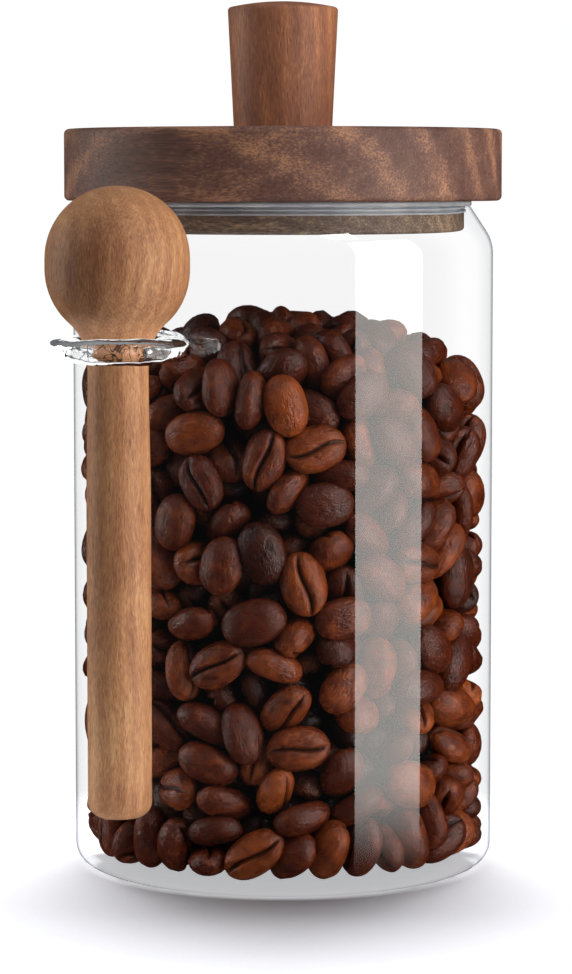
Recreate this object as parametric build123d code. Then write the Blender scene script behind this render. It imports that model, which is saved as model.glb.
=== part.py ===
from build123d import *
import os
from math import hypot

# Glass food canister with a wooden lid, and a wooden scoop that hangs in a glass ring on its side.
# Millimetres. The origin is the centre of the jar's flat base, +Z runs up the jar's axis, and the
# ring and the scoop are on the -Y side. Every piece is symmetric about the YZ plane.

# Jar
BODY_DIAMETER = 100.0
JAR_HEIGHT = 157.4  # base to rim
WALL = 1.8
BASE_THICKNESS = 3.2
BASE_OUTER_ROUND = 4.8
BASE_INNER_ROUND = 4.0
MOUTH_DIAMETER = 85.6
BORE_DEPTH = 3.4  # straight part of the mouth, which the seal's lips face
RIM_WIDTH = 1.7  # glass lip, across
RIM_ROUND = 0.6
SHOULDER_DROP = 8.4  # rim to where the slope would meet the wall
SHOULDER_ROUND = 10.0

# Contents: one closed heap, from the floor of the jar to a shallow dome
FILL_DROP = 40.4  # rim down to the edge of the heap
FILL_RISE = 17.0  # how far its middle stands above the edge
FILL_GAP = 0.4  # heap to wall

# Glass ring that holds the scoop, and the fused stub that joins it to the jar
RING_DROP = 31.5  # jar's rim down to the ring's centre
RING_BAND_WIDTH = 8.5  # section, across
RING_BAND_HEIGHT = 5.6  # section, upwards
BAND_ROUND = 2.6
STUB_WIDTH = 15.0
STUB_HEIGHT = 7.0
STUB_ROUND = 3.3

# Lid
DISC_DIAMETER = 104.0
DISC_THICKNESS = 16.9
DISC_ROUND = 1.2
PLUG_CLEARANCE = 0.5  # plug to mouth, all round
PLUG_THICKNESS = 7.6
PLUG_ROUND = 0.8

# Seal: a flange between the disc and the glass rim, and a sleeve with lips round the plug
FLANGE_THICKNESS = 1.2
FLANGE_OVERHANG = 0.4  # past the outside of the rim
FLANGE_ROUND = 0.4
SLEEVE_HEIGHT = 2.0  # below the flange
SLEEVE_WALL = 1.8
LIP_COUNT = 2
LIP_HEIGHT = 0.4
LIP_REACH = 1.0  # past the sleeve
LIP_GAP = 0.1  # lip to mouth
RUNNING_GAP = 0.05  # seal to its groove

# Knob and its fastening
KNOB_BASE_DIAMETER = 23.4
KNOB_TOP_DIAMETER = 26.2
KNOB_HEIGHT = 28.6
KNOB_DOME = 1.5
KNOB_ROUND = 0.9
SCREW_DIAMETER = 4.0
SCREW_LENGTH = 35.0
SCREW_HEAD_DIAMETER = 7.5
SCREW_HEAD_RIM = 0.4  # straight edge of the countersunk head
SCREW_HEAD_SINK = 0.4  # head below the plug's face
SCREW_HOLE_GAP = 0.25  # shank to the wood
SOCKET_ACROSS_FLATS = 2.5
SOCKET_DEPTH = 1.6
INSERT_DIAMETER = 6.6
INSERT_LENGTH = 12.0
INSERT_BARB_COUNT = 3
INSERT_BARB_DEPTH = 0.4
PILOT_HOLE_EXTRA = 1.0  # hole past the end of the insert

# Scoop
HEAD_RADIUS = 16.2
HEAD_BELT = 2.2  # straight belt between the head's two half balls
HEAD_GAP = 0.8  # head to the edge of the lid
BOWL_WALL = 2.8
BOWL_MOUTH_GAP = 0.2  # plane of the bowl's mouth, past the back of the handle
BOWL_ROUND = 0.8
HANDLE_RADIUS = 7.2
HANDLE_LENGTH = 124.0  # below the head's centre
HANDLE_END_ROUND = 3.6
HANDLE_GAP = 0.5  # handle to ring
NECK_SLIMMING = 0.4  # neck thinner than the handle
NECK_ROUND = 12.0
NECK_TAPER_START = 50.0  # below the head's centre
NECK_TAPER_LENGTH = 22.0
SEAT_GAP = 0.3  # head's underside to ring

# Places that follow from the sizes
BODY_RADIUS = BODY_DIAMETER / 2
INNER_RADIUS = BODY_RADIUS - WALL
MOUTH_RADIUS = MOUTH_DIAMETER / 2
RIM_RADIUS = MOUTH_RADIUS + RIM_WIDTH
FILL_TOP = JAR_HEIGHT - FILL_DROP + FILL_RISE
DISC_BOTTOM = JAR_HEIGHT + FLANGE_THICKNESS
DISC_TOP = DISC_BOTTOM + DISC_THICKNESS
PLUG_RADIUS = MOUTH_RADIUS - PLUG_CLEARANCE
PLUG_BOTTOM = DISC_BOTTOM - PLUG_THICKNESS
SLEEVE_RADIUS = MOUTH_RADIUS - LIP_GAP - LIP_REACH
SLEEVE_BOTTOM = JAR_HEIGHT - SLEEVE_HEIGHT
GROOVE_RADIUS = SLEEVE_RADIUS - SLEEVE_WALL
SCREW_BOTTOM = PLUG_BOTTOM + SCREW_HEAD_SINK
SCREW_HOLE_RADIUS = SCREW_DIAMETER / 2 + SCREW_HOLE_GAP
HEAD_HALF_HEIGHT = HEAD_RADIUS + HEAD_BELT / 2
NECK_RADIUS = HANDLE_RADIUS - NECK_SLIMMING
RING_CENTRE_RADIUS = HANDLE_RADIUS + HANDLE_GAP + RING_BAND_WIDTH / 2
RING_Y = -(DISC_DIAMETER / 2 + HEAD_GAP + HEAD_RADIUS)
RING_HEIGHT = JAR_HEIGHT - RING_DROP


def turned(face):
    """A solid turned about Z from a half section drawn as x = radius, y = height."""
    return revolve(Plane.XZ * face, Axis.Z)


def rounded_section(corners, rounds):
    """A closed half section whose first and last points are on the axis and stay sharp."""
    path = FilletPolyline(*corners, radius=rounds)
    return make_face([*path.edges(), Line(path @ 1, path @ 0)])


def jar_body():
    slope_start = JAR_HEIGHT - SHOULDER_DROP
    slope_run = BODY_RADIUS - RIM_RADIUS
    slope_length = hypot(slope_run, SHOULDER_DROP)
    inner_slope_start = slope_start - WALL * (slope_length - SHOULDER_DROP) / slope_run
    section = rounded_section(
        [
            (0, 0),
            (BODY_RADIUS, 0),
            (BODY_RADIUS, slope_start),
            (RIM_RADIUS, JAR_HEIGHT),
            (MOUTH_RADIUS, JAR_HEIGHT),
            (MOUTH_RADIUS, JAR_HEIGHT - BORE_DEPTH),
            (INNER_RADIUS, inner_slope_start),
            (INNER_RADIUS, BASE_THICKNESS),
            (0, BASE_THICKNESS),
        ],
        [
            BASE_OUTER_ROUND,
            SHOULDER_ROUND,
            RIM_ROUND,
            RIM_ROUND,
            RIM_ROUND,
            SHOULDER_ROUND - WALL,
            BASE_INNER_ROUND,
        ],
    )
    return turned(section)


def coffee_beans():
    radius = INNER_RADIUS - FILL_GAP
    dome_radius = (radius**2 + FILL_RISE**2) / (2 * FILL_RISE)
    section = rounded_section(
        [
            (0, BASE_THICKNESS),
            (radius, BASE_THICKNESS),
            (radius, FILL_TOP),
            (0, FILL_TOP),
        ],
        [BASE_INNER_ROUND, 0],
    )
    dome = Pos(0, FILL_TOP - dome_radius) * Circle(dome_radius)
    return turned(section & dome)


def ring_band():
    """Half section of the glass ring, about the ring's own axis and centre."""
    return Pos(RING_CENTRE_RADIUS, 0) * RectangleRounded(RING_BAND_WIDTH, RING_BAND_HEIGHT, BAND_ROUND)


def spoon_ring():
    """The band turned about the scoop's axis, with a stub cut to the curve of the jar's wall."""
    section = RectangleRounded(STUB_WIDTH, STUB_HEIGHT, STUB_ROUND)
    stub_start = Pos(0, RING_Y + RING_CENTRE_RADIUS, RING_HEIGHT) * Rot(-90, 0, 0)
    stub = stub_start * extrude(section, -RING_Y - RING_CENTRE_RADIUS)
    jar = Cylinder(BODY_RADIUS, 3 * JAR_HEIGHT)
    return Pos(0, RING_Y, RING_HEIGHT) * turned(ring_band()) + stub - jar


def screw_hole(bottom, top):
    """Clearance hole for the knob's screw, between two heights on the jar's axis."""
    return Pos(0, 0, (bottom + top) / 2) * Cylinder(SCREW_HOLE_RADIUS, top - bottom)


def lid_disc():
    section = rounded_section(
        [
            (0, DISC_BOTTOM),
            (DISC_DIAMETER / 2, DISC_BOTTOM),
            (DISC_DIAMETER / 2, DISC_TOP),
            (0, DISC_TOP),
        ],
        [DISC_ROUND, DISC_ROUND],
    )
    return turned(section) - screw_hole(DISC_BOTTOM, DISC_TOP)


def countersink():
    """Cone under the screw's head, opened to the plug's face."""
    head_radius = SCREW_HEAD_DIAMETER / 2 + SCREW_HOLE_GAP
    cone_height = head_radius - SCREW_HOLE_RADIUS
    mouth_height = SCREW_HEAD_SINK + SCREW_HEAD_RIM
    mouth = Pos(0, 0, PLUG_BOTTOM + mouth_height / 2) * Cylinder(head_radius, mouth_height)
    cone = Cone(head_radius, SCREW_HOLE_RADIUS, cone_height)
    return mouth + Pos(0, 0, PLUG_BOTTOM + mouth_height + cone_height / 2) * cone


def lid_plug():
    """Disc that fills the mouth, with a narrower neck above it for the seal."""
    shoulder = SLEEVE_BOTTOM - RUNNING_GAP
    section = rounded_section(
        [
            (0, PLUG_BOTTOM),
            (PLUG_RADIUS, PLUG_BOTTOM),
            (PLUG_RADIUS, shoulder),
            (GROOVE_RADIUS - RUNNING_GAP, shoulder),
            (GROOVE_RADIUS - RUNNING_GAP, DISC_BOTTOM),
            (0, DISC_BOTTOM),
        ],
        [PLUG_ROUND, 0, 0, 0],
    )
    return turned(section) - screw_hole(PLUG_BOTTOM, DISC_BOTTOM) - countersink()


def ring_section(inner, outer, bottom, top):
    """Rectangular section of a ring, from two radii and two heights."""
    middle = Pos((inner + outer) / 2, (bottom + top) / 2)
    return middle * Rectangle(outer - inner, top - bottom)


def seal_ring():
    flange_radius = RIM_RADIUS + FLANGE_OVERHANG
    section = ring_section(GROOVE_RADIUS, SLEEVE_RADIUS, SLEEVE_BOTTOM, JAR_HEIGHT)
    section += ring_section(GROOVE_RADIUS, flange_radius, JAR_HEIGHT, DISC_BOTTOM - RUNNING_GAP)
    lip_pitch = SLEEVE_HEIGHT / LIP_COUNT
    for index in range(LIP_COUNT):
        bottom = SLEEVE_BOTTOM + index * lip_pitch
        section += ring_section(GROOVE_RADIUS, SLEEVE_RADIUS + LIP_REACH, bottom, bottom + LIP_HEIGHT)
    flange_corners = section.vertices().filter_by_position(Axis.X, flange_radius, flange_radius)
    return turned(fillet(flange_corners, FLANGE_ROUND))


def insert_section(barb_depth):
    """Half section of the threaded insert, with barbs of a given depth round it."""
    outer = INSERT_DIAMETER / 2
    section = ring_section(SCREW_DIAMETER / 2, outer - barb_depth, 0, INSERT_LENGTH)
    pitch = INSERT_LENGTH / INSERT_BARB_COUNT
    for index in range(INSERT_BARB_COUNT):
        bottom = index * pitch
        section += ring_section(SCREW_DIAMETER / 2, outer, bottom, bottom + pitch / 2)
    return Pos(0, DISC_TOP) * section


def knob_insert():
    return turned(insert_section(INSERT_BARB_DEPTH))


def knob():
    """Tapered grip with a domed top and a blind hole for the insert."""
    top = DISC_TOP + KNOB_HEIGHT
    top_radius = KNOB_TOP_DIAMETER / 2
    dome_radius = (top_radius**2 + KNOB_DOME**2) / (2 * KNOB_DOME)
    section = rounded_section(
        [
            (0, DISC_TOP),
            (KNOB_BASE_DIAMETER / 2, DISC_TOP),
            (top_radius, top),
            (0, top),
        ],
        [0, 0],
    )
    cap = ring_section(0, top_radius, top, top + KNOB_DOME)
    cap &= Pos(0, top + KNOB_DOME - dome_radius) * Circle(dome_radius)
    grip = turned(section + cap)
    grip = fillet(grip.edges().filter_by_position(Axis.Z, top, top), KNOB_ROUND)
    hole_depth = INSERT_LENGTH + PILOT_HOLE_EXTRA
    hole = Pos(0, 0, DISC_TOP + hole_depth / 2) * Cylinder(INSERT_DIAMETER / 2, hole_depth)
    return grip - hole


def knob_screw():
    """Countersunk screw from the plug's face up into the insert, with a hexagon socket."""
    head_radius = SCREW_HEAD_DIAMETER / 2
    shank_radius = SCREW_DIAMETER / 2
    cone_top = SCREW_HEAD_RIM + head_radius - shank_radius
    section = rounded_section(
        [
            (0, 0),
            (head_radius, 0),
            (head_radius, SCREW_HEAD_RIM),
            (shank_radius, cone_top),
            (shank_radius, SCREW_LENGTH),
            (0, SCREW_LENGTH),
        ],
        [0, 0, 0, shank_radius / 4],
    )
    socket = extrude(RegularPolygon(SOCKET_ACROSS_FLATS / 2, 6, major_radius=False), SOCKET_DEPTH)
    return Pos(0, 0, SCREW_BOTTOM) * (turned(section) - socket)


def spoon_section():
    """Half section of the scoop before its bowl is cut, with the head's centre at the origin."""
    handle = Polyline(
        (0, 0),
        (NECK_RADIUS, 0),
        (NECK_RADIUS, NECK_TAPER_LENGTH - NECK_TAPER_START),
        (HANDLE_RADIUS, -NECK_TAPER_START),
        (HANDLE_RADIUS, -HANDLE_LENGTH),
        (0, -HANDLE_LENGTH),
        close=True,
    )
    head = ring_section(0, HEAD_RADIUS, -HEAD_BELT / 2, HEAD_BELT / 2)
    head += Pos(0, HEAD_BELT / 2) * Circle(HEAD_RADIUS) + Pos(0, -HEAD_BELT / 2) * Circle(HEAD_RADIUS)
    head &= ring_section(0, HEAD_RADIUS, -HEAD_HALF_HEIGHT, HEAD_HALF_HEIGHT)
    section = make_face(handle) + head
    under_head = section.vertices().sort_by_distance((NECK_RADIUS, -HEAD_HALF_HEIGHT))[0]
    section = fillet(under_head, NECK_ROUND)
    handle_end = section.vertices().sort_by_distance((HANDLE_RADIUS, -HANDLE_LENGTH))[0]
    return fillet(handle_end, HANDLE_END_ROUND)


def rest_height(section):
    """Height of the head's centre above the ring's, where its underside clears the band."""
    low = 0
    high = 2 * HEAD_HALF_HEIGHT
    while high - low > SEAT_GAP / 100:
        middle = (low + high) / 2
        if (Pos(0, middle) * section).distance_to(ring_band()) > SEAT_GAP:
            high = middle
        else:
            low = middle
    return high


def spoon():
    """Turned handle and head in one piece, with a round bowl that opens towards the jar."""
    section = spoon_section()
    head_centre = Pos(0, RING_Y, RING_HEIGHT + rest_height(section))
    mouth = HANDLE_RADIUS + BOWL_MOUTH_GAP
    depth = 2 * HEAD_RADIUS
    beyond_mouth = Pos(0, mouth + depth / 2, 0) * Box(depth, depth, 2 * HANDLE_LENGTH)
    scoop = turned(section) - beyond_mouth - Sphere(HEAD_RADIUS - BOWL_WALL)
    mouth_edges = scoop.faces().sort_by(Axis.Y)[-1].edges()
    return head_centre * fillet(mouth_edges, BOWL_ROUND)


PIECES = {
    "jar_body": jar_body,
    "spoon_ring": spoon_ring,
    "coffee_beans": coffee_beans,
    "lid_disc": lid_disc,
    "lid_plug": lid_plug,
    "seal_ring": seal_ring,
    "knob": knob,
    "knob_insert": knob_insert,
    "knob_screw": knob_screw,
    "spoon": spoon,
}

os.makedirs("parts", exist_ok=True)
for node, make_piece in PIECES.items():
    export_step(make_piece(), f"parts/{node}.step")
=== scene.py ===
import math

import bpy
import numpy as np
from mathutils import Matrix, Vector


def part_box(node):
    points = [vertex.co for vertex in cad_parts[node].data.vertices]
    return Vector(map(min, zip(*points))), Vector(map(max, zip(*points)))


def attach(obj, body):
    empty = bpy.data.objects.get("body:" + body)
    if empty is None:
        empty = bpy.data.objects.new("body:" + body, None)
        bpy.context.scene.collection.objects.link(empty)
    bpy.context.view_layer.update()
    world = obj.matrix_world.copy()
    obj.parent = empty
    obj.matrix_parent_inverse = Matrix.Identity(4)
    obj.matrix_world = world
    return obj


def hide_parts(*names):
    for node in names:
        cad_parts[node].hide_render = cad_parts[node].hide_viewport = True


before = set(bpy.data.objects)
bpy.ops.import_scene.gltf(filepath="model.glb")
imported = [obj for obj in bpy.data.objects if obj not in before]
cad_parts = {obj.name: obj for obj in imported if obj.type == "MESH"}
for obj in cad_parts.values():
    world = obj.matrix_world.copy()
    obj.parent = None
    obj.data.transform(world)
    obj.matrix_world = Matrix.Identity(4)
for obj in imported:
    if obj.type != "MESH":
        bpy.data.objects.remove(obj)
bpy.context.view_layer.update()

# Metres, in the CAD frame: +Z up the jar's axis, the scoop on the -Y side.
MM = 0.001

# Camera
CAMERA_TURN = 32.0  # degrees round the jar from straight in front of the scoop
CAMERA_DISTANCE = 0.813
CAMERA_HEIGHT = 0.1635
CAMERA_TILT = 5.16  # degrees below the level
CAMERA_SLIDE = 0.72 * MM  # sideways, to the camera's right
CAMERA_LENS = 125.7
SENSOR = 36.0

UPRIGHT = (0, math.pi / 2, 0)  # turn that takes X to the jar's axis, for wood with upright grain

# Jar, inside and out
WALL = 1.8 * MM
BASE_ROUND = 4.8 * MM
SHOULDER_DROP = 8.4 * MM
SHOULDER_ROUND = 10 * MM
BORE_DEPTH = 3.4 * MM
RIM_WIDTH = 1.7 * MM
RIM_ROUND = 0.6 * MM
FLANGE_OVERHANG = 0.4 * MM  # of the seal, past the glass rim
JAR_FLOOR = 3.2 * MM  # height of the inside floor
FLOOR_ROUND = 4 * MM

# Ring
RING_BAND_WIDTH = 8.5 * MM
RING_BAND_HEIGHT = 5.6 * MM
STUB_WIDTH = 12.5 * MM
STUB_HEIGHT = 7 * MM

# Heap of beans: a low dome, with a black core in its middle, painted shade in place of the deep beans
HEAP_RADIUS = 46.8 * MM
HEAP_TOP = 136 * MM
HEAP_FALL = 16 * MM  # from the middle of its surface to the edge
CORE_RADIUS = 26 * MM
CORE_TOP = 82 * MM
CORE_LIFT = 3 * MM  # above the jar's floor
PAINTED_SHADE_START = 4 * MM  # below the heap's surface, where the painted shade begins
PAINTED_SHADE_DEPTH = 12 * MM  # deeper than this below the heap's surface, painted shade turns the beans black

# One bean
BEAN_COUNT = 760
BEAN_LENGTH = 14.5 * MM
BEAN_WIDTH = 10.3 * MM
BEAN_DOME = 4.0 * MM
BEAN_BELLY = 3.1 * MM
SLIT_DEPTH = 1.5 * MM
SLIT_WIDTH = 0.42 * MM

# Packing of the beans
BALL_RADIUS = 3.55 * MM  # four balls stand for a bean while it is packed
BALL_REACH = 3.7 * MM
GROW_STEPS = 200
SETTLE_STEPS = 100
REST_STEPS = 30  # the last of the settling, without sinking
BEAN_SHAPES = 8
BEAN_PIECES = 6
SEED = 3

# Studio
KEY_LIGHT = 3.2
LEFT_LIGHT = 3.0
HIGH_LIGHT = 9.0
FLOOR_LIGHT = 21.0
LOW_LIGHT = 0.025
SKY_LIGHT = 0.3
PAINTED_BASE_GLOW = 0.5  # painted light: the floor under the jar emits, standing in for light that the jar's thick base carries down
GLOW_RADIUS = 50 * MM
STUDIO_FLOOR = -0.3 * MM  # just under the jar's base
STUDIO_FLOOR_RADIUS = 190 * MM
SHADOW_REACH = 30 * MM  # the floor's shaded patch lies this far in front of the jar's axis
BOWL_OUTLINE = ((2.4, -1.1), (2.9, -0.8), (3.0, -0.4), (3.0, 1.1))  # radius and height of the backdrop


class Look:
    """A node material under construction."""

    def __init__(self, name):
        self.material = bpy.data.materials.new(name)
        self.material.use_nodes = True
        self.tree = self.material.node_tree
        self.shader = self.tree.nodes["Principled BSDF"]
        self.output = self.tree.nodes["Material Output"]

    def feed(self, socket, value):
        if isinstance(value, bpy.types.NodeSocket):
            self.tree.links.new(value, socket)
        else:
            socket.default_value = value

    def add(self, kind, inputs=None, **settings):
        """A node of a kind, with its settings and its inputs (by name or number)."""
        node = self.tree.nodes.new("ShaderNode" + kind)
        for name, value in settings.items():
            setattr(node, name, value)
        for name, value in (inputs or {}).items():
            self.feed(node.inputs[name], value)
        return node

    def surface(self, **values):
        """Sets the main shader's inputs; an underscore stands for a space."""
        for name, value in values.items():
            self.feed(self.shader.inputs[name.replace("_", " ")], value)

    def place(self):
        return self.add("TexCoord").outputs["Object"]

    def maths(self, operation, a, b=0.0, c=0.0):
        return self.add("Math", {0: a, 1: b, 2: c}, operation=operation).outputs[0]

    def vary(self, value, by, amount):
        """Adds a noise, centred on none, to a value."""
        return self.maths("MULTIPLY_ADD", self.maths("SUBTRACT", by, 0.5), amount, value)

    def mix(self, factor, a, b):
        return self.add("Mix", {0: factor, 6: a, 7: b}, data_type="RGBA").outputs[2]

    def noise(self, vector, scale, detail=2.0, roughness=0.5):
        inputs = {"Vector": vector, "Scale": scale, "Detail": detail, "Roughness": roughness}
        return self.add("TexNoise", inputs).outputs["Fac"]

    def stretch(self, vector, scale):
        return self.add("Mapping", {"Vector": vector, "Scale": scale}).outputs[0]

    def ramp(self, value, *stops):
        """Colour ramp from (position, colour) pairs."""
        node = self.add("ValToRGB", {"Fac": value})
        elements = node.color_ramp.elements
        while len(elements) < len(stops):
            elements.new(0.5)
        for element, (position, colour) in zip(elements, stops):
            element.position = position
            element.color = (*colour, 1.0)
        return node.outputs["Color"]

    def step(self, value, low, high, to_low=0.0, to_high=1.0):
        """Smooth step, from to_low to to_high as the value goes from low to high."""
        inputs = {"Value": value, "From Min": low, "From Max": high, "To Min": to_low, "To Max": to_high}
        return self.add("MapRange", inputs, interpolation_type="SMOOTHSTEP").outputs[0]

    def bump(self, height, strength, distance, normal=None):
        inputs = {"Height": height, "Strength": strength, "Distance": distance}
        if normal is not None:
            inputs["Normal"] = normal
        return self.add("Bump", inputs).outputs[0]

    def finish_glass(self, ray, seen, otherwise):
        """Mixes two shaders by a kind of ray: the one seen by it, and the other by all the rest."""
        inputs = {0: self.add("LightPath").outputs[ray], 1: otherwise, 2: seen}
        self.feed(self.output.inputs["Surface"], self.add("MixShader", inputs).outputs[0])


def linear(red, green, blue):
    """Linear colour from 0-255 screen values."""
    values = [value / 255 for value in (red, green, blue)]
    return tuple(((v + 0.055) / 1.055) ** 2.4 if v > 10 / 255 else v / 12.92 for v in values)


def log_space(look, grain, pith):
    """Place in the log, X along its fibres: straight, and with the fibres' slow waver."""
    inputs = {"Vector": look.place(), "Location": pith, "Rotation": grain}
    straight = look.add("Mapping", inputs, vector_type="TEXTURE").outputs[0]
    wobble = look.add("TexNoise", {"Vector": straight, "Scale": 28.0, "Detail": 3.0}).outputs["Color"]
    wobble = look.add("VectorMath", {0: wobble, 1: (0.5, 0.5, 0.5)}, operation="SUBTRACT").outputs[0]
    wobble = look.add("VectorMath", {0: wobble, "Scale": 7 * MM}, operation="SCALE").outputs[0]
    wavering = look.add("VectorMath", {0: straight, 1: wobble}, operation="ADD").outputs[0]
    return straight, wavering


def growth_rings(look, vector, ring_width):
    """Narrow light bands, one to each ring's width."""
    inputs = {"Vector": vector, "Scale": 2 * math.pi / 20 / ring_width}
    inputs.update({"Distortion": 1.5, "Detail": 3.0, "Detail Scale": 1.2})
    settings = {"wave_type": "RINGS", "rings_direction": "X", "wave_profile": "SIN"}
    return look.maths("POWER", look.add("TexWave", inputs, **settings).outputs["Fac"], 2.0)


def wood(name, dark, middle, light, grain, pith, ring_width, rings, fibre=1.0, dash=330):
    """Wood cut from a log: rings round a pith line, fibres and pores along it.

    grain is the turn, in radians, that takes X to the fibres' direction; pith is a point on the log's
    heart. rings and fibre are how strongly each shows, and a lower dash makes longer fibres.
    """
    look = Look(name)
    straight, wavering = log_space(look, grain, pith)
    ring = growth_rings(look, wavering, ring_width)
    streak = look.noise(look.stretch(wavering, (30, 330, 330)), 1.0, 4.0, 0.6)
    hair = look.noise(look.stretch(wavering, (dash, 2400, 2400)), 1.0, 2.0, 0.6)
    cloud = look.noise(wavering, 38.0, 2.0)
    tone = look.maths("MULTIPLY_ADD", ring, rings * 0.5, 0.5 - rings * 0.25)
    for noise, amount in ((streak, 0.85 * fibre), (hair, 1.3 * fibre), (cloud, 0.8)):
        tone = look.vary(tone, noise, amount)
    colour = look.ramp(tone, (0.12, dark), (0.5, middle), (0.88, light))
    pores = look.noise(look.stretch(straight, (420, 3000, 3000)), 1.0, 1.0)
    pore = look.step(pores, 0.60, 0.72)
    pore_colour = (*[0.45 * channel for channel in dark], 1.0)
    colour = look.mix(look.maths("MULTIPLY", pore, 0.55 * fibre), colour, pore_colour)
    rough = look.maths("MULTIPLY_ADD", hair, 0.25, 0.4)
    height = look.maths("SUBTRACT", look.maths("MULTIPLY_ADD", hair, 0.6, streak), pore)
    look.surface(Base_Color=colour, Roughness=rough, Normal=look.bump(height, 0.35, 0.25 * MM))
    look.surface(Specular_IOR_Level=0.35)
    return look


def clear_glass():
    """Blown glass, barely bending what is behind it, with a real glass's reflections on top, and painted
    shade darkening it towards its outline.

    Only what is seen directly goes through it as glass; all other light passes untouched.
    """
    look = Look("clear_glass")
    facing = look.add("LayerWeight", {"Blend": 0.5}).outputs["Facing"]
    # painted shade: the glass's colour darkens to near black towards its outline, standing in for the
    # dark edges that real glass's bending gives
    edge = look.ramp(
        facing, (0.6, (1.0, 1.0, 1.0)), (0.7, (0.86, 0.865, 0.875)), (0.82, (0.74, 0.75, 0.77)),
        (0.9, (0.24, 0.25, 0.28)), (1.0, (0.02, 0.025, 0.03))
    )
    waves = look.noise(look.place(), 26.0, 1.0)
    look.surface(Base_Color=edge, Roughness=0.0, Normal=look.bump(waves, 0.05, 1.0 * MM))
    height = look.add("SeparateXYZ", {"Vector": look.place()}).outputs["Z"]
    gloss = look.step(facing, 0.24, 0.5, 1.0, 0.03)
    look.surface(Coat_Weight=look.maths("MULTIPLY", gloss, look.step(height, 0.004, 0.03)))
    look.surface(IOR=1.02, Transmission_Weight=1.0, Coat_IOR=1.8, Coat_Roughness=0.01)
    clear = look.add("BsdfTransparent", {"Color": (0.99, 0.99, 0.99, 1.0)})
    look.finish_glass("Is Camera Ray", look.shader.outputs[0], clear.outputs[0])
    return look


def ring_glass():
    """Thick hand-worked glass which bends what is behind it, with painted dark streaks in its colour in
    place of the dark reflections thick glass shows.
    """
    look = Look("ring_glass")
    lumps = look.noise(look.place(), 260.0, 2.0)
    # painted reflection: thin near-black lines in the glass's colour stand in for the dark streaks of
    # reflected and bent surroundings
    painted_streaks = look.maths("ABSOLUTE", look.maths("SUBTRACT", look.noise(look.place(), 330.0, 1.0), 0.5))
    colour = look.mix(look.step(painted_streaks, 0.008, 0.03), (0.06, 0.06, 0.07, 1.0), (0.97, 0.98, 0.99, 1.0))
    look.surface(Base_Color=colour, Roughness=0.0, Normal=look.bump(lumps, 0.35, 1.0 * MM))
    look.surface(IOR=1.4, Transmission_Weight=1.0)
    clear = look.add("BsdfTransparent", {"Color": (0.99, 0.99, 0.99, 1.0)})
    look.finish_glass("Is Shadow Ray", clear.outputs[0], look.shader.outputs[0])
    return look


def silicone():
    """Milky rubber with a dull bloom."""
    look = Look("silicone")
    cloud = look.noise(look.place(), 180.0, 2.0)
    colour = look.ramp(cloud, (0.3, linear(186, 190, 198)), (0.7, linear(220, 224, 230)))
    dust = look.noise(look.place(), 2600.0, 2.0)
    look.surface(Base_Color=colour, Roughness=look.step(cloud, 0.3, 0.7, 0.32, 0.45))
    look.surface(Normal=look.bump(dust, 0.15, 0.1 * MM))
    look.surface(Subsurface_Weight=0.4, Subsurface_Radius=(2.0 * MM, 2.2 * MM, 2.6 * MM))
    look.surface(Subsurface_Scale=1.0)
    return look


def turned_metal(name, dark, light, rough):
    """Metal with fine turning marks round the jar's axis."""
    look = Look(name)
    marks = look.noise(look.stretch(look.place(), (90, 90, 5200)), 1.0, 3.0)
    blotch = look.noise(look.place(), 420.0, 2.0)
    look.surface(Base_Color=look.ramp(blotch, (0.3, dark), (0.7, light)), Metallic=1.0)
    look.surface(Roughness=look.step(marks, 0.3, 0.7, rough, rough + 0.18))
    look.surface(Normal=look.bump(marks, 0.25, 0.05 * MM))
    return look


def bean_skin():
    """Roasted skin: its own tone for each bean, fine wrinkles, painted shade in its slit, and painted
    shade turning it black deep in the heap.
    """
    look = Look("bean_skin")
    tone = look.add("Attribute", attribute_name="tone").outputs["Fac"]
    slit = look.add("Attribute", attribute_name="slit").outputs["Fac"]
    shade = look.add("Attribute", attribute_name="shade").outputs["Fac"]
    spot = look.add("Attribute", attribute_name="spot").outputs["Vector"]
    mottle = look.noise(spot, 340.0, 3.0, 0.6)
    wrinkle = look.noise(look.stretch(spot, (0.5, 1.0, 1.0)), 1000.0, 3.0, 0.65)
    level = look.vary(tone, mottle, 0.9)
    stops = ((0.0, linear(44, 12, 3)), (0.5, linear(92, 34, 11)), (1.0, linear(172, 84, 31)))
    colour = look.ramp(level, *stops)
    # painted shade: the slit's crease is darkened to near black
    colour = look.mix(slit, colour, (*linear(16, 6, 4), 1.0))
    # painted shade: points deep in the heap are darkened to black, where the outer beans would shade them
    colour = look.mix(shade, (0.001, 0.0006, 0.0005, 1.0), colour)
    rough = look.step(wrinkle, 0.3, 0.7, 0.26, 0.42)
    normal = look.bump(wrinkle, 1.0, 0.5 * MM)
    normal = look.bump(mottle, 0.4, 0.7 * MM, normal)
    look.surface(Base_Color=colour, Roughness=rough, Normal=normal)
    look.surface(Specular_IOR_Level=0.42)
    return look


def dress(node, look):
    """Gives a CAD piece its look."""
    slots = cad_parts[node].data.materials
    slots.clear()
    slots.append(look.material)


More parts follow.
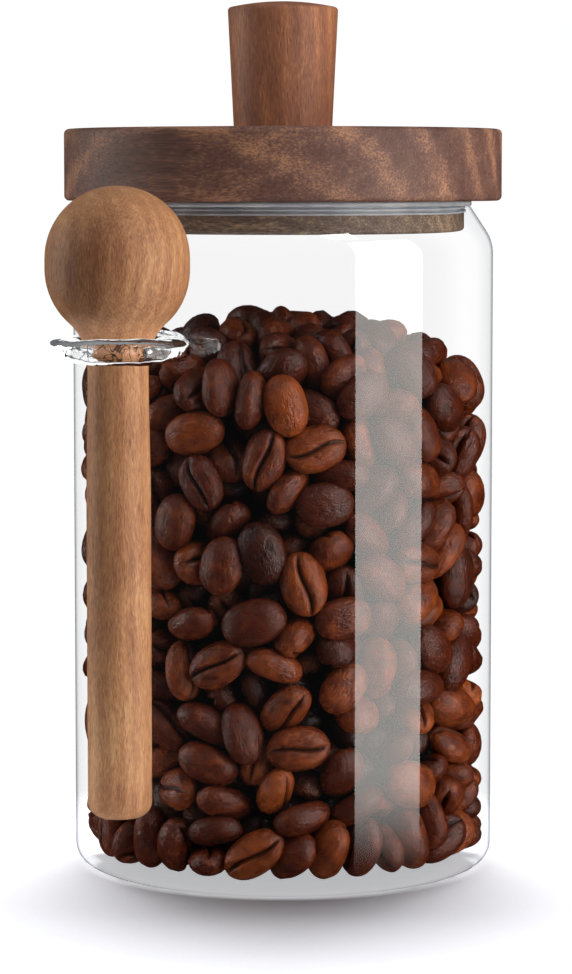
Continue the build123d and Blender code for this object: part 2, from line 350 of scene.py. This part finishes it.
def dress_lid():
    lid = wood("lid_wood", linear(98, 68, 60), linear(130, 94, 82), linear(200, 146, 112),
               (0, 0, 0), (0, -0.1, 0.108), 11 * MM, rings=0.5, fibre=0.8, dash=90)
    plug = wood("plug_wood", linear(96, 80, 70), linear(136, 116, 102), linear(204, 174, 138),
                (0, 0, 0.3), (0, -0.07, 0.1), 3 * MM, rings=0.3)
    knob = wood("knob_wood", linear(126, 80, 62), linear(174, 114, 84), linear(230, 158, 104),
                UPRIGHT, (0.03, 0.02, 0.17), 4 * MM, rings=0.2, fibre=0.6, dash=400)
    dress("lid_disc", lid)
    dress("lid_plug", plug)
    dress("knob", knob)
    dress("seal_ring", silicone())
    dress("knob_screw", turned_metal("screw_steel", linear(150, 150, 152), linear(190, 190, 192), 0.28))
    dress("knob_insert", turned_metal("insert_brass", linear(170, 125, 60), linear(205, 165, 90), 0.3))


def dress_scoop():
    """The scoop's wood. Its mirror image is kept out of the jar's glass."""
    scoop = wood("spoon_wood", linear(156, 102, 72), linear(202, 144, 100), linear(236, 184, 132),
                 UPRIGHT, (0.018, -0.05, 0.1), 3.2 * MM, rings=0.2, fibre=0.7, dash=500)
    dress("spoon", scoop)
    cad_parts["spoon"].visible_glossy = False


def bean_template(rng):
    """One bean: domed back up, flat belly with its slit down. Corners, faces and slit weights."""
    stations = np.sin(np.linspace(-1, 1, 15) * math.pi / 2)[1:-1]
    back = np.linspace(0, math.pi, 11)[1:-1]
    belly = (-1, -0.8, -0.55, -0.3, -0.16, -0.08, 0, 0.08, 0.16, 0.3, 0.55, 0.8, 1)
    bend = rng.uniform(0.3, 0.9) * MM * rng.choice([-1, 1])
    points = []
    slit = []
    for t in stations:
        half_width = BEAN_WIDTH / 2 * (1 - abs(t) ** 2.4) ** 0.5
        dome = BEAN_DOME * (1 - abs(t) ** 2.3) ** 0.5
        depth = BEAN_BELLY * (1 - abs(t) ** 3.2) ** 0.5
        fade = 1 - abs(t) ** 8
        for y in belly:
            off = half_width * y - bend * math.sin(math.pi * t) * (1 - y * y)
            cut = fade * math.exp(-((half_width * y / SLIT_WIDTH) ** 2))
            z = -depth * (1 - abs(y) ** 3) ** 0.6 + SLIT_DEPTH * cut * depth / BEAN_BELLY
            points.append((t * BEAN_LENGTH / 2, off, z))
            slit.append(cut)
        for angle in back:
            height = dome * math.sin(angle) ** 0.9
            points.append((t * BEAN_LENGTH / 2, half_width * math.cos(angle), height))
            slit.append(0.0)
    around = len(belly) + len(back)
    last = (len(stations) - 1) * around
    tip = len(points)
    points += [(-BEAN_LENGTH / 2, 0, 0), (BEAN_LENGTH / 2, 0, 0)]
    slit += [0.0, 0.0]
    faces = []
    for k in range(around):
        n = (k + 1) % around
        for row in range(0, last, around):
            faces.append((row + k, row + n, row + around + n, row + around + k))
        faces.append((n, k, tip))
        faces.append((last + k, last + n, tip + 1))
    return np.array(points), faces, slit


def random_turns(rng, count):
    """Turning matrices spread evenly over all directions."""
    quaternion = rng.normal(size=(count, 4))
    w, x, y, z = (quaternion / np.linalg.norm(quaternion, axis=1)[:, None]).T
    rows = (
        (1 - 2 * (y * y + z * z), 2 * (x * y - z * w), 2 * (x * z + y * w)),
        (2 * (x * y + z * w), 1 - 2 * (x * x + z * z), 2 * (y * z - x * w)),
        (2 * (x * z - y * w), 2 * (y * z + x * w), 1 - 2 * (x * x + y * y)),
    )
    return np.moveaxis(np.array(rows), -1, 0)


def heap_top(points):
    """Height of the heap's surface over each point: a low dome."""
    return HEAP_TOP - HEAP_FALL * (points[..., 0] ** 2 + points[..., 1] ** 2) / HEAP_RADIUS**2


def start_points(rng):
    """Loose random places for the beans, between the jar and the core."""
    found = []
    while len(found) < BEAN_COUNT:
        x, y, z = rng.uniform(-1, 1, 3) * (HEAP_RADIUS, HEAP_RADIUS, HEAP_TOP)
        point = np.array((x, y, abs(z)))
        out = math.hypot(x, y)
        in_jar = out < HEAP_RADIUS - 6 * MM and JAR_FLOOR + 5 * MM < point[2] < heap_top(point) - 5 * MM
        in_core = out < CORE_RADIUS + 5 * MM and point[2] < CORE_TOP
        if in_jar and not in_core:
            found.append(point)
    return np.array(found)


def push_apart(balls, radii, first, second):
    """Moves overlapping balls half their overlap each."""
    between = balls[first] - balls[second]
    gap = np.sqrt((between**2).sum(1)) + 1e-12
    overlap = radii[first] + radii[second] - gap
    hit = overlap > 0
    a, b = first[hit], second[hit]
    push = between[hit] * (0.5 * overlap[hit] / gap[hit])[:, None]
    count = len(balls)
    share = np.bincount(a, minlength=count) + np.bincount(b, minlength=count)
    moves = [np.bincount(a, push[:, k], count) - np.bincount(b, push[:, k], count) for k in range(3)]
    return balls + np.stack(moves, 1) * (1.3 / np.maximum(share, 1))[:, None]


def keep_inside(balls, radii, under_top):
    """Puts balls back inside the jar's wall, floor and rounded corner, outside the core."""
    out = np.hypot(balls[:, 0], balls[:, 1]) + 1e-12
    balls[:, :2] *= np.minimum(1, (HEAP_RADIUS - radii) / out)[:, None]
    balls[:, 2] = np.maximum(balls[:, 2], JAR_FLOOR + radii)
    if under_top:
        balls[:, 2] = np.minimum(balls[:, 2], heap_top(balls) - radii)
    out = np.hypot(balls[:, 0], balls[:, 1]) + 1e-12
    across = out - (HEAP_RADIUS - FLOOR_ROUND)
    down = JAR_FLOOR + FLOOR_ROUND - balls[:, 2]
    reach = np.hypot(across, down) + 1e-12
    deep = (across > 0) & (down > 0) & (reach > FLOOR_ROUND - radii)
    scale = np.where(deep, (FLOOR_ROUND - radii) / reach, 1)
    balls[:, :2] *= np.where(deep, (HEAP_RADIUS - FLOOR_ROUND + across * scale) / out, 1)[:, None]
    balls[:, 2] = np.where(deep, JAR_FLOOR + FLOOR_ROUND - down * scale, balls[:, 2])
    out = np.hypot(balls[:, 0], balls[:, 1]) + 1e-12
    above = np.maximum(balls[:, 2] - (CORE_TOP - CORE_RADIUS), 0)
    reach = np.hypot(out, above)
    scale = np.maximum(1, (CORE_RADIUS + radii) / reach)
    balls[:, :2] *= scale[:, None]
    balls[:, 2] += above * (scale - 1)
    return balls


def close_pairs(centres, scale):
    """Every pair of balls of beans that are near each other."""
    apart = ((centres[:, None] - centres[None]) ** 2).sum(-1)
    near = (BEAN_LENGTH / 2 * (scale[:, None] + scale[None]) + 1.5 * MM) ** 2
    first, second = np.nonzero(np.triu(apart < near, 1))
    four = np.arange(4)
    first = (first[:, None, None] * 4 + four[None, :, None] + 0 * four).ravel()
    second = (second[:, None, None] * 4 + 0 * four[None, :, None] + four).ravel()
    return first, second


def pour(rng):
    """Packs the beans: each is four balls held in its shape, grown in place and then settled."""
    offsets = np.array([(1, 0, 0), (-1, 0, 0), (0, 0.43, 0), (0, -0.43, 0)]) * BALL_REACH
    centres = start_points(rng)
    turns = random_turns(rng, BEAN_COUNT)
    sizes = rng.normal(1.0, 0.05, BEAN_COUNT).clip(0.9, 1.1)
    for step in range(GROW_STEPS + SETTLE_STEPS):
        growing = step < GROW_STEPS
        scale = sizes * min(1.0, 0.45 + 0.55 * step / (GROW_STEPS * 0.7))
        if step % 4 == 0:
            first, second = close_pairs(centres, scale)
        if growing:
            centres[:, 2] -= 0.01 * MM
        elif step < GROW_STEPS + SETTLE_STEPS - REST_STEPS:
            centres[:, 2] -= 0.06 * MM
        arms = np.einsum("nij,kj->nki", turns, offsets)
        balls = (centres[:, None] + arms * scale[:, None, None]).reshape(-1, 3)
        radii = np.repeat(BALL_RADIUS * scale, 4)
        for _ in range(3):
            balls = keep_inside(push_apart(balls, radii, first, second), radii, growing)
        held = balls.reshape(-1, 4, 3)
        centres = held.mean(1)
        left, _, right = np.linalg.svd(np.einsum("nki,kj->nij", held - centres[:, None], offsets))
        left[:, :, 2] *= np.linalg.det(left @ right)[:, None]
        turns = left @ right
    return centres, turns, sizes


def mesh_object(name, points, faces, look, body):
    """Smooth-shaded piece, riding a body unless that is None."""
    mesh = bpy.data.meshes.new(name)
    mesh.from_pydata([tuple(p) for p in points], [], [tuple(f) for f in faces])
    mesh.validate()
    mesh.shade_smooth()
    mesh.materials.append(look.material)
    piece = bpy.data.objects.new(name, mesh)
    bpy.context.scene.collection.objects.link(piece)
    if body:
        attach(piece, body)
    return piece


def spread_attribute(mesh, name, kind, values):
    """Writes one value to each of a mesh's points, for its material to read."""
    layer = mesh.attributes.new(name, kind, "POINT")
    key = "vector" if kind == "FLOAT_VECTOR" else "value"
    layer.data.foreach_set(key, np.asarray(values, dtype=np.float32).ravel())


def painted_shade_mask(points):
    """Mask for painted shade: how open each point is, from 0 deep in the heap, where it is painted black,
    to 1 next to the glass or the heap's surface.
    """
    wall = HEAP_RADIUS - np.hypot(points[:, 0], points[:, 1])
    surface = heap_top(points) - 2 * MM - points[:, 2]
    depth = np.minimum(wall, surface)
    return np.clip((PAINTED_SHADE_DEPTH - depth) / (PAINTED_SHADE_DEPTH - PAINTED_SHADE_START), 0, 1) ** 1.5


def bean_batch(number, batch, centres, turns, sizes, templates, rng, look):
    """One piece holding many beans, with each bean's tone and each point's own place on its bean."""
    points, faces, tones, slits, spots = [], [], [], [], []
    count = 0
    for bean in batch:
        shape, shape_faces, slit = templates[rng.integers(len(templates))]
        stretch = rng.normal(1.0, (0.03, 0.04, 0.05)).clip(0.92, 1.08)
        placed = (shape * stretch * sizes[bean]) @ turns[bean].T + centres[bean]
        points.append(placed)
        faces += [tuple(i + count for i in face) for face in shape_faces]
        tones += [rng.normal(0.5, 0.14)] * len(shape)
        slits += slit
        spots.append(shape + rng.uniform(-1, 1, 3))
        count += len(shape)
    piece = mesh_object(f"beans_{number}", np.vstack(points), faces, look, "jar")
    spread_attribute(piece.data, "tone", "FLOAT", tones)
    spread_attribute(piece.data, "slit", "FLOAT", slits)
    spread_attribute(piece.data, "spot", "FLOAT_VECTOR", np.vstack(spots))
    spread_attribute(piece.data, "shade", "FLOAT", painted_shade_mask(np.vstack(points)))
    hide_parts("coffee_beans")
    return piece


def rounded_path(corners, rounds, steps=8):
    """Points of a path in (radius, height) whose inner corners are rounded to these radii."""
    path = [np.array(corners[0], float)]
    for before, here, after, radius in zip(corners, corners[1:], corners[2:], rounds):
        here = np.array(here, float)
        a = np.array(before) - here
        b = np.array(after) - here
        a, b = a / np.linalg.norm(a), b / np.linalg.norm(b)
        half = math.acos(float(np.clip(a @ b, -1, 1))) / 2
        middle = (a + b) / np.linalg.norm(a + b)
        centre = here + middle * radius / math.sin(half)
        start = here + a * radius / math.tan(half) - centre
        end = here + b * radius / math.tan(half) - centre
        for k in range(steps + 1):
            spoke = start * (1 - k / steps) + end * (k / steps)
            path.append(centre + spoke / np.linalg.norm(spoke) * radius)
    path.append(np.array(corners[-1], float))
    return path


def lathe(name, path, look, body, sides=160):
    """Path turned about the jar's axis; its ends lie on the axis."""
    points = [(0, 0, path[0][1]), (0, 0, path[-1][1])]
    for radius, height in path[1:-1]:
        for k in range(sides):
            angle = 2 * math.pi * k / sides
            points.append((radius * math.cos(angle), radius * math.sin(angle), height))
    faces = []
    last = 2 + (len(path) - 3) * sides
    for k in range(sides):
        n = (k + 1) % sides
        faces.append((0, 2 + n, 2 + k))
        faces.append((1, last + k, last + n))
        for row in range(2, last, sides):
            faces.append((row + k, row + n, row + sides + n, row + sides + k))
    return mesh_object(name, points, faces, look, body)


def blow_jar():
    """The jar's glass: outside from the base's middle up to the rim, then down inside to its floor."""
    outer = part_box("jar_body")[1].x
    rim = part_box("jar_body")[1].z
    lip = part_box("seal_ring")[1].x - FLANGE_OVERHANG
    mouth = lip - RIM_WIDTH
    inner = outer - WALL
    slope_start = rim - SHOULDER_DROP
    slope_length = math.hypot(outer - lip, SHOULDER_DROP)
    inner_slope_start = slope_start - WALL * (slope_length - SHOULDER_DROP) / (outer - lip)
    corners = [(0, 0), (outer, 0), (outer, slope_start), (lip, rim), (mouth, rim)]
    corners += [(mouth, rim - BORE_DEPTH), (inner, inner_slope_start), (inner, JAR_FLOOR), (0, JAR_FLOOR)]
    rounds = [BASE_ROUND, SHOULDER_ROUND, *[RIM_ROUND] * 3, SHOULDER_ROUND - WALL, FLOOR_ROUND]
    piece = lathe("jar_glass", rounded_path(corners, rounds), clear_glass(), "jar")
    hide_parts("jar_body")


def squared(value, power):
    """Sine or cosine of a circle, pushed outwards to a squarer section."""
    return math.copysign(abs(value) ** power, value)


def ring_band(centre, middle, look):
    """Rippled band of squarish section, its middle line a level circle round the handle."""
    around, across = 120, 36
    points = []
    faces = []
    for i in range(around):
        turn = 2 * math.pi * i / around
        swell = 1 + 0.06 * math.sin(3 * turn + 0.7) + 0.04 * math.sin(7 * turn)
        here, ahead = i * across, (i + 1) % around * across
        for j in range(across):
            angle = 2 * math.pi * j / across
            ripple = 1 - 0.012 * (1 + math.sin(17 * turn + 2 * math.sin(2 * angle)))
            out = middle + RING_BAND_WIDTH / 2 * squared(math.cos(angle), 0.7) * ripple
            up = RING_BAND_HEIGHT / 2 * squared(math.sin(angle), 0.75) * ripple * swell
            x, y = out * math.sin(turn), out * math.cos(turn)
            points.append((centre.x + x, centre.y + y, centre.z + up))
            n = (j + 1) % across
            faces.append((here + j, ahead + j, ahead + n, here + n))
    return mesh_object("ring_band", points, faces, look, "jar")


def ring_stub(centre, middle, look):
    """Lumpy stub from inside the band to the jar's wall, swelling from its narrow start."""
    start = centre.y + middle
    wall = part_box("jar_body")[1].x
    rows, sides = 22, 40
    points = [(0, start, centre.z), (0, -wall, centre.z)]
    for i in range(rows):
        along = i / (rows - 1)
        bulge = 1 + 0.05 * math.sin(along * 19) + 0.03 * math.sin(along * 37 + 1)
        close = min(1, 3.5 * along + 0.25) ** 0.5
        for j in range(sides):
            angle = 2 * math.pi * j / sides
            wave = bulge + 0.035 * math.sin(5 * angle + 9 * along)
            x = STUB_WIDTH / 2 * close * wave * math.cos(angle)
            y = start + (-math.sqrt(wall**2 - x**2) - start) * along
            points.append((x, y, centre.z + STUB_HEIGHT / 2 * close * wave * math.sin(angle)))
    faces = []
    last = 2 + (rows - 1) * sides
    for j in range(sides):
        n = (j + 1) % sides
        faces.append((0, 2 + j, 2 + n))
        faces.append((1, last + n, last + j))
        for row in range(2, last, sides):
            faces.append((row + j, row + sides + j, row + sides + n, row + n))
    return mesh_object("ring_stub", points, faces, look, "jar")


def shape_ring():
    """The hand-worked ring: its band, and the stub that is fused to the jar."""
    low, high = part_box("spoon_ring")
    reach = (high.x - low.x) / 2
    centre = Vector((0, low.y + reach, (low.z + high.z) / 2))
    look = ring_glass()
    for shape in (ring_band, ring_stub):
        piece = shape(centre, reach - RING_BAND_WIDTH / 2, look)
        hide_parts("spoon_ring")


def painted_shade_core(look):
    """Black middle of the heap behind the outer beans: painted shade, a dark sheet where the deep beans
    would lie in shadow.
    """
    base = JAR_FLOOR + CORE_LIFT
    dome = CORE_TOP - CORE_RADIUS
    profile = [(0.0, base), (CORE_RADIUS, base), (CORE_RADIUS, dome)]
    steps, sides = 8, 40
    for k in range(1, steps + 1):
        angle = math.pi / 2 * k / steps
        profile.append((CORE_RADIUS * math.cos(angle), dome + CORE_RADIUS * math.sin(angle)))
    points = []
    for radius, height in profile:
        for k in range(sides):
            angle = 2 * math.pi * k / sides
            bulge = 1 + 0.03 * math.sin(7 * angle + 400 * height)
            points.append((radius * bulge * math.cos(angle), radius * bulge * math.sin(angle), height))
    faces = []
    for row in range(len(profile) - 1):
        for k in range(sides):
            n = (k + 1) % sides
            low, high = row * sides, (row + 1) * sides
            faces.append((low + k, low + n, high + n, high + k))
    piece = mesh_object("beans_painted_shade_core", points, faces, look, "jar")
    # painted shade: no shade attribute is written here, so the bean skin paints this core black
    zero = np.zeros(len(piece.data.vertices))
    spread_attribute(piece.data, "tone", "FLOAT", zero)
    spread_attribute(piece.data, "slit", "FLOAT", zero + 0.6)
    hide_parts("coffee_beans")


def fill_jar():
    """Beans poured in, a few shapes at random, and the black core of painted shade behind them."""
    rng = np.random.default_rng(SEED)
    look = bean_skin()
    centres, turns, sizes = pour(rng)
    templates = [bean_template(rng) for _ in range(BEAN_SHAPES)]
    for number, batch in enumerate(np.array_split(np.arange(BEAN_COUNT), BEAN_PIECES)):
        bean_batch(number, batch, centres, turns, sizes, templates, rng, look)
    painted_shade_core(look)


def camera_direction():
    """Level direction from the jar to the camera."""
    turn = math.radians(CAMERA_TURN)
    return Vector((math.sin(turn), -math.cos(turn), 0))


def place_camera():
    """Long lens, level with the lid and tilted down a little."""
    data = bpy.data.cameras.new("camera")
    data.sensor_width = SENSOR
    data.lens = CAMERA_LENS
    camera = bpy.data.objects.new("camera", data)
    bpy.context.scene.collection.objects.link(camera)
    to_camera = camera_direction()
    right = Vector((-to_camera.y, to_camera.x, 0))
    camera.location = to_camera * CAMERA_DISTANCE + right * CAMERA_SLIDE + Vector((0, 0, CAMERA_HEIGHT))
    camera.rotation_euler = (math.radians(90 - CAMERA_TILT), 0, math.radians(CAMERA_TURN))
    bpy.context.scene.camera = camera


def softbox(name, turn, distance, height, width, tall, radiance, colour=(1, 1, 1)):
    """Flat panel facing the jar, turned so many degrees to the right of the camera."""
    data = bpy.data.lights.new(name, "AREA")
    data.shape = "RECTANGLE"
    data.size = width
    data.size_y = tall
    data.energy = radiance * math.pi * width * tall
    data.color = colour
    lamp = bpy.data.objects.new(name, data)
    bpy.context.scene.collection.objects.link(lamp)
    angle = math.radians(CAMERA_TURN + turn)
    lamp.location = (math.sin(angle) * distance, -math.cos(angle) * distance, height)
    aim = Vector((0, 0, 0.1)) - lamp.location
    lamp.rotation_euler = aim.to_track_quat("-Z", "Y").to_euler()
    lamp.visible_camera = False
    return lamp


def group_of(name, pieces):
    """Collection of pieces for a lamp to light, or to be shaded by."""
    group = bpy.data.collections.new(name)
    for piece in pieces:
        group.objects.link(piece)
    return group


def studio_world():
    """Dim cool light from all round, a little stronger overhead."""
    world = bpy.data.worlds.new("studio")
    world.use_nodes = True
    bpy.context.scene.world = world
    tree = world.node_tree
    place = tree.nodes.new("ShaderNodeTexCoord")
    split = tree.nodes.new("ShaderNodeSeparateXYZ")
    ramp = tree.nodes.new("ShaderNodeValToRGB")
    ramp.color_ramp.elements[0].color = (*[c * LOW_LIGHT for c in (0.96, 0.98, 1.0)], 1)
    ramp.color_ramp.elements[1].color = (*[c * SKY_LIGHT for c in (0.92, 0.96, 1.0)], 1)
    tree.links.new(place.outputs["Generated"], split.inputs[0])
    tree.links.new(split.outputs["Z"], ramp.inputs["Fac"])
    tree.links.new(ramp.outputs["Color"], tree.nodes["Background"].inputs["Color"])


def hang_backdrop(name, start, end):
    """White bowl round the studio from one turn to another, seen directly and through the jar."""
    look = Look(name)
    light = look.add("Emission", {"Color": (1.0, 1.0, 1.0, 1.0), "Strength": 1.02})
    look.feed(look.output.inputs["Surface"], light.outputs[0])
    steps = 32
    bands = len(BOWL_OUTLINE) - 1
    points = [(0, 0, BOWL_OUTLINE[0][1])]
    for radius, height in BOWL_OUTLINE:
        for k in range(steps + 1):
            angle = math.radians(CAMERA_TURN + start + (end - start) * k / steps)
            points.append((radius * math.sin(angle), -radius * math.cos(angle), height))
    faces = []
    for k in range(steps):
        faces.append((0, 2 + k, 1 + k))
        for row in range(1 + k, 1 + k + bands * (steps + 1), steps + 1):
            faces.append((row, row + 1, row + steps + 2, row + steps + 1))
    piece = mesh_object(name, points, faces, look, None)
    piece.visible_diffuse = False
    piece.visible_glossy = False
    piece.visible_shadow = False
    return piece


def floor_look():
    """White floor that takes the shadow, with painted light emitted under the jar, and fades out at its
    edge.
    """
    look = Look("floor")
    ahead = camera_direction() * SHADOW_REACH
    distance = look.add("VectorMath", {0: look.place(), 1: ahead}, operation="DISTANCE").outputs["Value"]
    grain = look.noise(look.place(), 900.0, 2.0)
    look.surface(Base_Color=look.ramp(grain, (0.3, (0.86, 0.865, 0.91)), (0.7, (0.88, 0.885, 0.93))))
    under = look.add("VectorMath", {0: look.place()}, operation="LENGTH").outputs["Value"]
    # painted light: the floor under the jar emits, in place of light carried down through the jar's base
    glow = look.step(under, 0.88 * GLOW_RADIUS, GLOW_RADIUS, PAINTED_BASE_GLOW, 0.0)
    look.surface(Roughness=0.6, Emission_Strength=glow, Emission_Color=(0.96, 0.97, 1.0, 1.0))
    clear = look.add("BsdfTransparent")
    inputs = {0: look.step(distance, 0.08, 0.14), 1: look.shader.outputs[0], 2: clear.outputs[0]}
    look.feed(look.output.inputs["Surface"], look.add("MixShader", inputs).outputs[0])
    return look


def lay_floor():
    """Round floor of rings of faces, kept out of the jar's reflections."""
    sides, rings = 64, 12
    points = [(0, 0, STUDIO_FLOOR)]
    faces = []
    for ring in range(1, rings + 1):
        radius = STUDIO_FLOOR_RADIUS * ring / rings
        inner, outer = 1 + (ring - 2) * sides, 1 + (ring - 1) * sides
        for k in range(sides):
            angle = 2 * math.pi * k / sides
            points.append((radius * math.cos(angle), radius * math.sin(angle), STUDIO_FLOOR))
            n = (k + 1) % sides
            if ring == 1:
                faces.append((0, outer + k, outer + n))
            else:
                faces.append((inner + k, outer + k, outer + n, inner + n))
    piece = mesh_object("floor", points, faces, floor_look(), None)
    piece.visible_glossy = False
    return piece


def light_canister(canister):
    """Three panels that light the canister alone; the key's mirror image is the strip on the glass."""
    lit = group_of("lit", canister)
    for name, *panel in (
        ("key", 58, 0.6, 0.12, 0.44, 0.9, KEY_LIGHT, (1.0, 0.97, 0.93)),
        ("left_fill", -100, 0.7, 0.2, 0.35, 0.7, LEFT_LIGHT, (1.0, 0.95, 0.9)),
        ("high_front", 40, 0.55, 0.8, 0.2, 0.2, HIGH_LIGHT, (1.0, 0.96, 0.92)),
    ):
        softbox(name, *panel).light_linking.receiver_collection = lit


def light_floor(canister):
    """One panel for the floor alone, shaded by everything but the scoop."""
    overhead = softbox("overhead", 180, 0.24, 0.9, 0.55, 0.5, FLOOR_LIGHT)
    overhead.light_linking.receiver_collection = group_of("floor_only", [lay_floor()])
    shading = [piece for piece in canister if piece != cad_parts["spoon"]]
    overhead.light_linking.blocker_collection = group_of("shading", shading)


def hang_backdrops(canister):
    """The white that is seen, and a half of it that only the ring's glass mirrors."""
    hang_backdrop("backdrop", 0, 360)
    mirrored = hang_backdrop("backdrop_in_ring", 90, 270)
    mirrored.visible_glossy = True
    mirrored.visible_camera = False
    mirrored.visible_transmission = False
    ring = [piece for piece in canister if piece.name.startswith("ring_")]
    mirrored.light_linking.receiver_collection = group_of("ring_only", ring)


def light_studio():
    canister = [piece for piece in bpy.context.scene.objects if piece.type == "MESH"]
    light_canister(canister)
    light_floor(canister)
    studio_world()
    hang_backdrops(canister)
    bpy.context.scene.view_settings.view_transform = "Standard"


dress_lid()
dress_scoop()
blow_jar()
shape_ring()
fill_jar()
light_studio()
place_camera()
